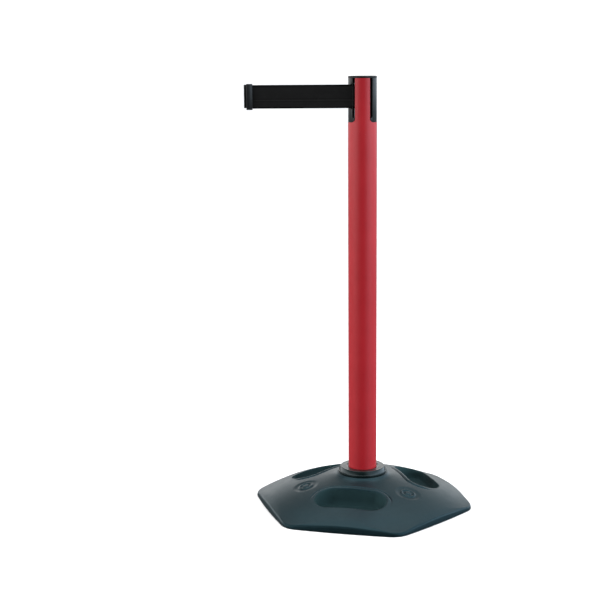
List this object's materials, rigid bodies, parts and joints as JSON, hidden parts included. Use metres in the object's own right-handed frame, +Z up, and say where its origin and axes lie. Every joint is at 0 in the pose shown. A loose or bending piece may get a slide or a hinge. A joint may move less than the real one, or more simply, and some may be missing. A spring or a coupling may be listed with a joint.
{
  "type": "retractable belt stanchion",
  "caption": "Free-standing post with a domed hexagonal base and a head that reels out a flat webbing belt ending in a clip.",
  "frame": {"origin": "on the post axis at floor level, in the middle of the base's underside", "axes": "+Z up along the post, -X the way the belt leaves the head"},
  "size_m": [0.5023, 0.4774, 0.965],
  "materials": {
    "base_rubber": "matte moulded rubber",
    "red_paint": "satin powder coat",
    "black_plastic": "satin moulded plastic",
    "webbing": "woven polyester",
    "steel": "zinc plated",
    "spring_steel": "oiled blue",
    "nylon": "natural nylon",
    "cast_aluminium": "as cast"
  },
  "bodies": {
    "post": {"anchor_stud": "steel", "base_weight": "base_rubber", "brake_ring": "steel", "cap_screw_left": "steel", "cap_screw_right": "steel", "cassette_floor": "black_plastic", "cassette_pillar_1": "steel", "cassette_pillar_2": "steel", "cassette_pillar_3": "steel", "cassette_pillar_4": "steel", "cassette_top_plate": "black_plastic", "foot_collar": "base_rubber", "foot_plug": "cast_aluminium", "head_coupler": "cast_aluminium", "head_panel_left": "black_plastic", "head_panel_right": "black_plastic", "head_sleeve": "red_paint", "mouth_pin_inner": "steel", "mouth_pin_outer": "steel", "post_tube": "red_paint", "power_spring": "spring_steel", "spindle": "steel", "spindle_nut": "steel", "spring_case": "steel", "spring_case_lid": "steel", "top_cap": "black_plastic"},
    "reel": {"reel_drum": "nylon", "reel_flange_lower": "nylon", "reel_flange_upper": "nylon", "reel_bush_lower": "steel", "reel_bush_upper": "steel", "belt_coil": "webbing", "spring_arbor": "steel", "brake_pin_a": "steel", "brake_pin_b": "steel"},
    "brake_shoe_a": {"brake_shoe_a": "nylon"},
    "brake_shoe_b": {"brake_shoe_b": "nylon"},
    "belt_end": {"clip_belt_pin": "steel", "clip_screw_lower": "steel", "clip_screw_upper": "steel", "clip_shell_back": "black_plastic", "clip_shell_front": "black_plastic", "clip_tongue": "black_plastic", "belt_free": "webbing"}
  },
  "joints": [
    {"name": "belt_pull", "type": "slide", "parent": "post", "child": "belt_end", "axis": [-1, 0, 0], "range_m": [-0.2125, 2.06], "stiffness_N_per_m": 0.8, "springref_m": -6, "deforming": ["belt_free"]},
    {"name": "reel_turn", "type": "hinge", "parent": "post", "child": "reel", "pos_m": [0, 0, 0.92], "axis": [0, 0, 1], "range_deg": [-6050, 650], "deforming": ["power_spring"]},
    {"name": "brake_shoe_a_swing", "type": "hinge", "parent": "reel", "child": "brake_shoe_a", "pos_m": [0.01683, 0.00237, 0.8906], "axis": [0, 0, 1], "range_deg": [-1.2, 0], "stiffness_Nm_per_rad": 0.02},
    {"name": "brake_shoe_b_swing", "type": "hinge", "parent": "reel", "child": "brake_shoe_b", "pos_m": [-0.01683, -0.00237, 0.8906], "axis": [0, 0, 1], "range_deg": [-1.2, 0], "stiffness_Nm_per_rad": 0.02}
  ],
  "couplings": [
    {"joint": "reel_turn", "follows": "belt_pull", "rad_per_m": -50.8}
  ]
}
